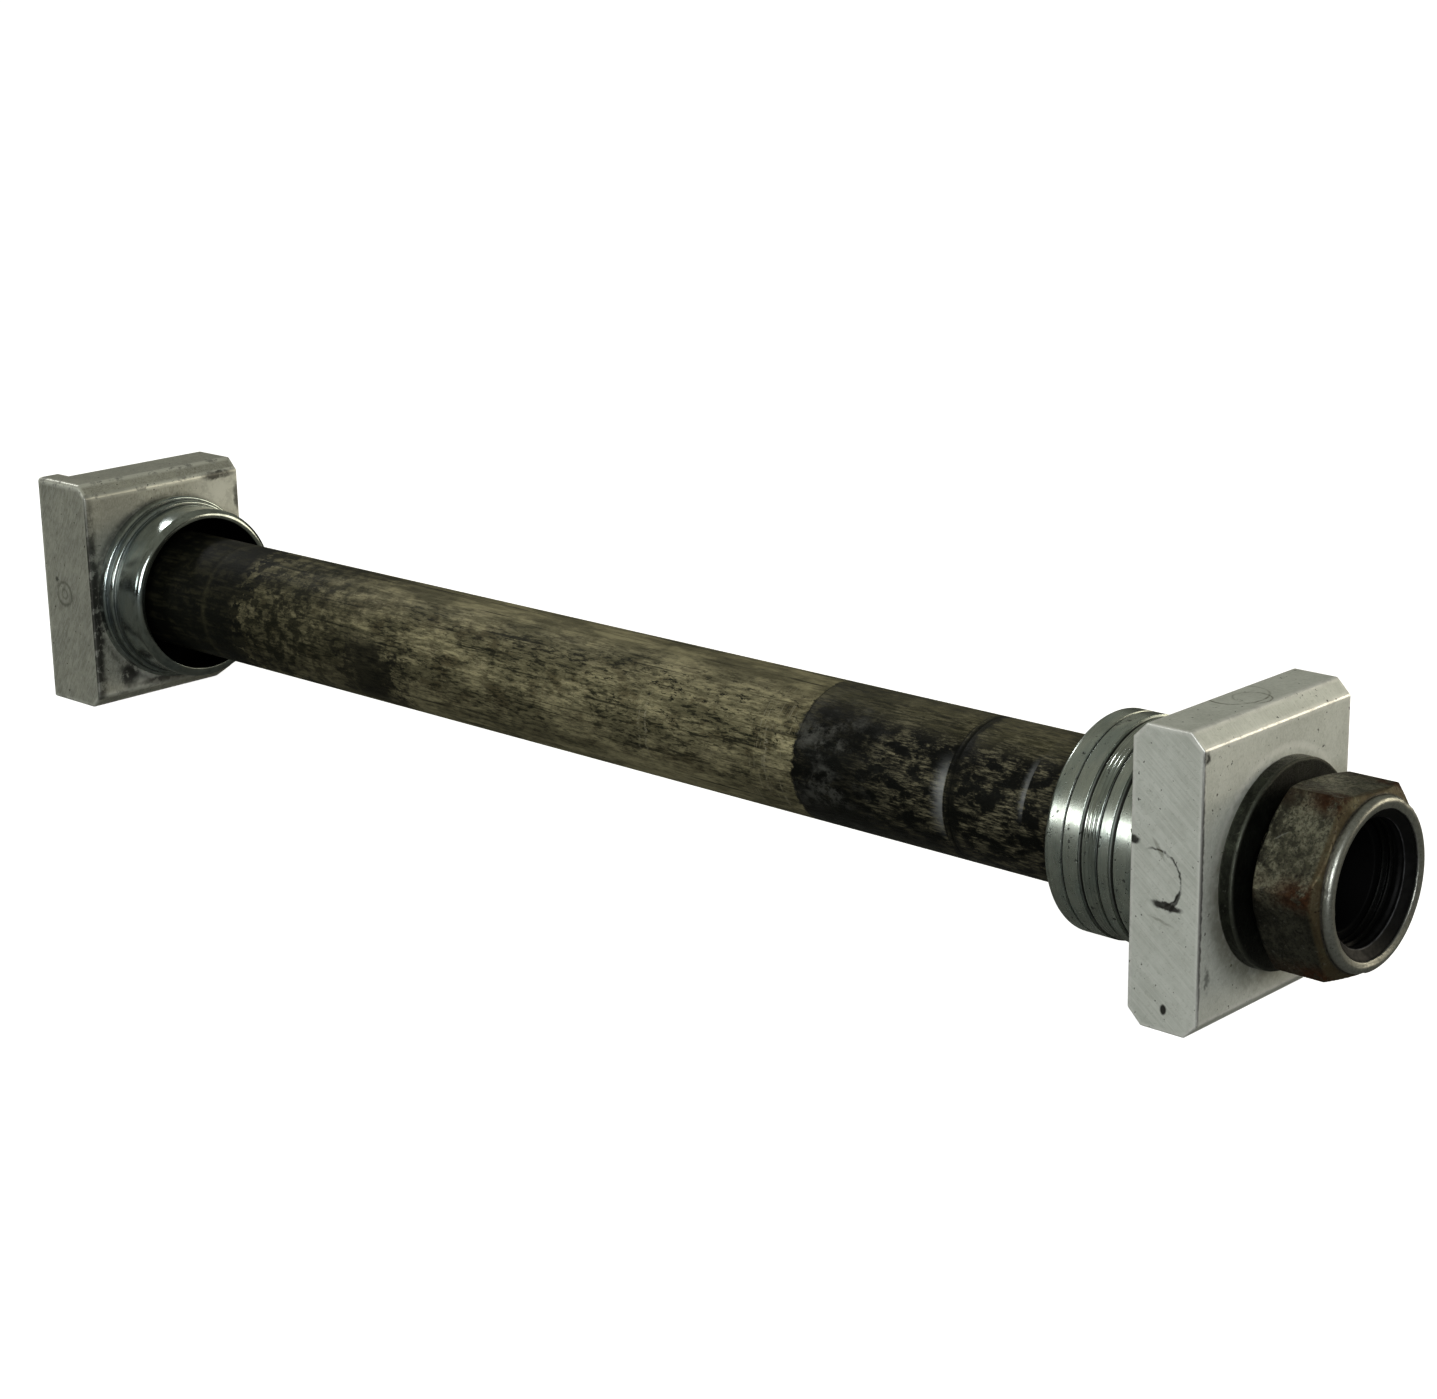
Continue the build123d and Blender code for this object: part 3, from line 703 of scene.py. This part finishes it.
insert = dict(radius=14.25, length=3.4, opening=13.3, hole=11.6, dish=1.3, threadPitch=1.5, threadDepth=0.22,
              segments=160)
insertLook = dict(nylon="#050505", dust="#0d0d0c", scuffed="#3c3c3d", metallic=0.0, specular=0.08,
                  bump=(0.02, 0.4))
corners = [("hole", 0, 0, {"thread": 1.0}), ("radius", 0, 0.1), ("radius", "length", 0),
           ("opening", "length", 0), ("hole", insert["length"] - insert["dish"], 0.22, {"thread": 1.0})]
turnPiece("lockingInsert", "nut_locking_insert", insert, corners,
          makeFinish("mouldedBlackNylon", blackNylon, insertLook))


# Chain adjuster blocks: milled from bar, bored for the axle, their edges broken

def millBlock(name, node, outline, bevelled, sizes, material):
    # outline is seen from above; bevelled lists the y of each bevelled side and the way it faces
    low, high = boxOf(node)
    shape = bmesh.new()
    base = shape.faces.new([shape.verts.new((x * mm, y * mm, low.z * mm)) for x, y in outline])
    top = bmesh.ops.extrude_face_region(shape, geom=[base])["geom"]
    bmesh.ops.translate(shape, vec=(0, 0, (high.z - low.z) * mm),
                        verts=[v for v in top if isinstance(v, bmesh.types.BMVert)])
    slope = math.sqrt(0.5)
    flats = [((0, y, z - dz * sizes["bevel"]), (0, dy * slope, dz * slope))
             for y, dy in bevelled for z, dz in ((low.z, -1), (high.z, 1))]
    flats.append(((low.x, 0, low.z + sizes["cornerCut"]), (-slope, 0, -slope)))
    for point, normal in flats:  # cuts away what lies beyond each flat and closes the cut
        cut = bmesh.ops.bisect_plane(shape, geom=shape.verts[:] + shape.edges[:] + shape.faces[:],
                                     plane_co=Vector(point) * mm, plane_no=normal, clear_outer=True)
        rim = [e for e in cut["geom_cut"] if isinstance(e, bmesh.types.BMEdge)]
        bmesh.ops.edgeloop_fill(shape, edges=rim)
    bmesh.ops.recalc_face_normals(shape, faces=shape.faces)
    if sizes["frontRound"]:
        nose = [e for e in shape.edges if all(abs(v.co.x - high.x * mm) < 1e-6 and
                abs(v.co.z - high.z * mm) < 1e-6 for v in e.verts)]
        bmesh.ops.bevel(shape, geom=nose, offset=sizes["frontRound"] * mm, segments=5, profile=0.5,
                        affect="EDGES")
    block = inScene(name + "Source", intoMesh(shape, bpy.data.meshes.new(name)))
    # The bore, with its mouths broken
    bore = bmesh.new()
    radius, mouth, start, end = (sizes[key] * mm for key in ("bore", "boreEdge", "faceFrom", "faceTo"))
    turns = [math.tau * k / sizes["segments"] for k in range(sizes["segments"])]
    rings = [[bore.verts.new((r * math.cos(a), y, r * math.sin(a))) for a in turns] for r, y in (
        (radius + mouth + mm, start - mm), (radius, start + mouth), (radius, end - mouth),
        (radius + mouth + mm, end + mm))]
    for one, other in zip(rings, rings[1:]):
        for k in range(len(turns)):
            bore.faces.new((one[k - 1], one[k], other[k], other[k - 1]))
    bore.faces.new(rings[0])
    bore.faces.new(rings[-1])
    bmesh.ops.recalc_face_normals(bore, faces=bore.faces)
    cutter = inScene(name + "Bore", intoMesh(bore, bpy.data.meshes.new(name + "Bore")))
    boring = block.modifiers.new("bore", "BOOLEAN")
    boring.object, boring.operation, boring.solver = cutter, "DIFFERENCE", "EXACT"
    rounding = block.modifiers.new("edges", "BEVEL")
    rounding.width, rounding.segments, rounding.limit_method = sizes["edge"] * mm, 3, "ANGLE"
    rounding.angle_limit = math.radians(30)
    mesh = plainMesh(block, name)
    block.modifiers.clear()
    bpy.data.objects.remove(cutter)
    # Each flat face gets a narrow border, so that wear can fade in from its edges
    shape = bmesh.new()
    shape.from_mesh(mesh)
    bmesh.ops.remove_doubles(shape, verts=shape.verts, dist=leastGap * mm)
    groups = {}
    for face in shape.faces:
        if face.calc_area() > sizes["leastFace"] * mm * mm:
            plane = (*(round(v, 2) for v in face.normal), round(face.normal.dot(face.verts[0].co) / mm, 1))
            groups.setdefault(plane, []).append(face)
    for faces in groups.values():
        bmesh.ops.inset_region(shape, faces=faces, thickness=sizes["border"] * mm, use_even_offset=True,
                               use_boundary=True)
    layer = shape.verts.layers.float.new("edgeWear")
    for vert in shape.verts:
        normals = [f.normal for f in vert.link_faces]
        vert[layer] = 1.0 if any(n.dot(normals[0]) < 0.9995 for n in normals) else 0.0
    for face in shape.faces:
        face.smooth = True
    block.data = intoMesh(shape, mesh)
    block.modifiers.new("flatShading", "WEIGHTED_NORMAL").weight = 100
    mesh = plainMesh(block, name)
    block.modifiers.clear()
    bpy.data.objects.remove(block)
    fitPiece(name, node, mesh, material)


blockSizes = dict(bevel=2.8, cornerCut=8.0, frontRound=0.0, bore=14.15, boreEdge=0.6, edge=0.3, border=0.7,
                  leastFace=20, segments=128)

# Marks lie on the face across the given axis, between the two values on it. Each has its place and
# stretch across that face, and is dirt where no colour is given; a ring has a width, and one with a
# side is whole on that side only.

rightBlockLook = dict(
    metal="#d3d6ce", dull="#b4b7ad", bright="#eeeee8", dirt="#1d1b17", soil="#55523f", metallic=0.6,
    bump=(0.05, 0.7), gloss=0.50, mottle=0.25, edgeDirt=0.18, gritTurn=(-38, 0, 0), crossTurn=(35, 20, 70),
    marks=[("X", 23.8, 30, [
        # half of the ring that the adjuster bolt's end pressed into the front, and scratches by it
        dict(at=(153.7, 1.4), radius=5.1, ring=0.38, soft=0.14, ragged=0.9, side=(1, 0.25), broken=0.35,
            amount=0.9),
        dict(at=(154.4, 6.4), soft=0.5, stretch=(2.6, 0.5), tilt=-35, ragged=0.5, broken=0.3, amount=0.5,
            colour="soil"),
        dict(at=(155, -6.2), soft=0.6, stretch=(0.45, 4), tilt=12, ragged=0.6, broken=0.3, amount=0.4,
            colour="soil"),
        # dark smear below it, and a dot near the bottom
        dict(at=(156.1, -3.3), soft=0.25, stretch=(0.33, 1.35), tilt=4, ragged=0.9, broken=0.95, amount=0.95),
        dict(at=(157.8, -2.2), soft=0.3, stretch=(0.45, 2.6), tilt=-62, ragged=0.6, broken=0.8, amount=0.85),
        dict(at=(155.9, -22.1), radius=0.75, soft=0.2, stretch=(1.15, 0.8), broken=1, amount=0.97)]),
        ("X", 22, 30, [  # a nick at the wheel side's edge
        dict(at=(148.6, 7.3), soft=0.3, stretch=(0.6, 1.2), ragged=0.8, broken=0.9, amount=0.95)]),
        ("Z", 28.1, 40, [  # thin double ring on the top
        dict(at=(0.2, 153.4), radius=5.4, ring=0.34, soft=0.16, stretch=(0.85, 1.1), side=(0.9, 0.5),
            rest=0.45, broken=0.5, amount=0.85, colour="soil"),
        dict(at=(0, 156.2), radius=3.4, ring=0.30, soft=0.16, ragged=0.5, side=(-0.9, 0.5), rest=0.5,
            broken=0.4, amount=0.75, colour="soil")]),
        ("Y", 162.7, 170, [
        # burnished crescent above the washer, and a painted contact shadow with grime round the washer,
        # darkest at its lower front
        dict(at=(0, 0.3), radius=20.3, ring=1.1, soft=0.45, ragged=1.2, side=(0.2, 1), broken=0.3,
            amount=0.5, colour="bright"),
        dict(at=(2.2, -2.2), radius=19.4, soft=3, ragged=2.4, broken=0.8, amount=0.74, colour="soil"),
        # dirt at the front edge's top corner and near the bottom
        dict(at=(23.3, 24.2), soft=0.35, stretch=(1.1, 0.8), ragged=1.4, broken=0.5, amount=0.9),
        dict(at=(21.6, -15.5), soft=0.5, stretch=(1.2, 0.45), ragged=1.8, broken=0.2, amount=0.6)]),
        ("Y", 162.6, 170, [  # dirt along the front edge
        dict(at=(23.9, 0), soft=0.5, stretch=(2.2, 0.038), ragged=0.8, broken=0.9, amount=0.85)])])
rightLow, rightHigh = boxOf("right_adjuster_block")
y0, y1 = rightLow.y, rightHigh.y
outline = [(rightLow.x, y0), (rightHigh.x, y0), (rightHigh.x, y1), (rightLow.x, y1)]
millBlock("rightBlock", "right_adjuster_block", outline, [(y0, -1), (y1, 1)],
          {**blockSizes, "faceFrom": y0, "faceTo": y1},
          makeFinish("milledAluminiumRight", millAluminium, rightBlockLook))

leftBlock = dict(ribWidth=6.0, ribHeight=4.5, frontRound=1.0, edge=1.1)
leftBlockLook = dict(
    metal="#a2a295", dull="#83837a", bright="#d9dacf", dirt="#191813", soil="#47463b", metallic=0.7,
    bump=(0.05, 0.7), gloss=0.52, mottle=0.55, edgeDirt=0.55, gritTurn=(60, 0, 15), crossTurn=(-20, 40, 60),
    marks=[("Y", -154, -150, [
        # the wheel side: lighter towards the rear and darker towards the front, as painted light and shade
        dict(at=(-17, 17), radius=9, soft=7, stretch=(1, 0.8), ragged=4, broken=0.7, amount=0.95,
            colour="bright"),
        dict(at=(9, -23), radius=5, soft=3, stretch=(0.6, 1), ragged=3, broken=0.3, amount=0.8,
            colour="bright"),
        dict(at=(16, 14), radius=10, soft=6, stretch=(1, 0.7), ragged=3, broken=0.8, amount=0.6,
            colour="dull"),
        # dirt along its front edge and below the spacer, and a ring of painted contact shadow with dirt round
        # the spacer's flange
        dict(at=(23.4, -3), radius=1.5, soft=0.7, stretch=(0.8, 0.055), ragged=1.8, broken=0.35, amount=0.92),
        dict(at=(0.8, -0.6), radius=22.6, ring=1.6, soft=0.9, ragged=1, broken=0.6, amount=0.6),
        dict(at=(15, -19.5), radius=2.2, soft=1.2, stretch=(0.8, 0.7), ragged=2, broken=0, amount=0.9),
        dict(at=(3.5, -22.4), soft=0.5, stretch=(0.11, 1.2), ragged=1.2, broken=0.4, amount=0.8)]),
        ("X", 23.8, 30, [  # faint rings where the adjuster bolt's end bore
        dict(at=(-164.6, 0.6), radius=2.8, ring=0.7, soft=0.35, ragged=0.9, broken=0.4, amount=0.55,
            colour="soil"),
        dict(at=(-164.6, 0.6), radius=1.1, ring=0.5, soft=0.3, ragged=0.4, broken=0.5, amount=0.5,
            colour="soil"),
        dict(at=(-167.4, 3.9), radius=0.6, soft=0.3, broken=0.8, amount=0.7)]),
        ("Y", -160, -150, [  # smudges on the wheel side's upper and rear edges
        dict(at=(-15.2, 25), soft=0.4, stretch=(0.22, 1), ragged=1.5, broken=0.6, amount=0.85),
        dict(at=(-20.6, 19), soft=0.4, stretch=(1, 0.3), ragged=1.5, broken=0.8, amount=0.8)])])
leftLow, leftHigh = boxOf("left_adjuster_block")
y0, y1 = leftLow.y + leftBlock["ribHeight"], leftHigh.y
ribX = leftHigh.x - leftBlock["ribWidth"]
outline = [(leftLow.x, y1), (leftHigh.x, y1), (leftHigh.x, leftLow.y), (ribX, leftLow.y), (ribX, y0),
           (leftLow.x, y0)]
millBlock("leftBlock", "left_adjuster_block", outline, [(y1, 1)],
          {**blockSizes, **leftBlock, "faceFrom": y0, "faceTo": y1},
          makeFinish("milledAluminiumLeft", millAluminium, leftBlockLook))

# Floor of pale paper

studio = dict(floorRadius=7.0, paper="#f2f2f0", grain="#e8e8e4", paperInMetal="#757670", glow=0.86,
              sky="#e2e3d0", skyPower=0.29, horizon="#23241f", horizonPower=0.8, background="#fdfdfd")
floorShape = bmesh.new()
bmesh.ops.create_circle(floorShape, cap_ends=True, segments=96, radius=studio["floorRadius"])
bmesh.ops.translate(floorShape, vec=(0, 0, (rightLow.z - 0.02) * mm), verts=floorShape.verts)
floorMesh = intoMesh(floorShape, bpy.data.meshes.new("floor"))
floorMesh.materials.append(makeFinish("pale paper", mattPaper, studio))
floor = inScene("floor", floorMesh)

# Soft studio light: a room that is bright above and dark at the horizon, and five softboxes

world = bpy.data.worlds.new("studioRoom")
world.use_nodes = True
current.tree, current.look = world.node_tree, studio
current.tree.nodes.clear()
up = add("SeparateXYZ", [add("TexCoord").outputs["Generated"]]).outputs["Z"]
lift = add("MapRange", {"Value": up, "From Min": 0.08, "From Max": 0.5}, **eased)
room = add("Background", {"Color": painted("horizon", [(lift, "sky")]),
           "Strength": layered(studio["horizonPower"], [(lift, studio["skyPower"])])})
white = add("Background", {"Color": studio["background"], "Strength": 1.0})
isCamera = add("LightPath").outputs["Is Camera Ray"]
add("OutputWorld", {"Surface": add("MixShader", [isCamera, room, white])})
scene.world = world

softboxes = [
    dict(name="leftWindow", at=(1.38, -0.82, 0.37), size=(0.75, 0.30), power=3.5, colour="#fdfffa"),
    dict(name="rightWindow", at=(-1.37, 0.90, 0.30), size=(1.1, 0.6), power=8.0, colour="#fff4dc"),
    dict(name="frontBox", at=(1.25, 1.15, 0.55), size=(0.9, 0.9), power=22.5, colour="#fafdff"),
    dict(name="topBox", at=(0.1, 0.3, 1.7), size=(1.6, 1.2), power=0.2, colour="#fff8e6"),
    dict(name="lampBox", at=(-0.18, -1.28, 0.94), size=(0.22, 0.14), power=2.5, colour="#ffffff")]
for box in softboxes:
    lamp = bpy.data.lights.new(box["name"], "AREA")
    lamp.shape, lamp.size, lamp.size_y = "RECTANGLE", *box["size"]
    lamp.energy = box["power"]
    lamp.color = linear(box["colour"])[:3]
    holder = inScene(box["name"], lamp)
    holder.location = box["at"]
    holder.visible_camera = False
    holder.rotation_euler = (-Vector(box["at"])).to_track_quat("-Z", "Y").to_euler()
scene.view_settings.view_transform = "Standard"
print("studio lit:", len(softboxes), "softboxes")
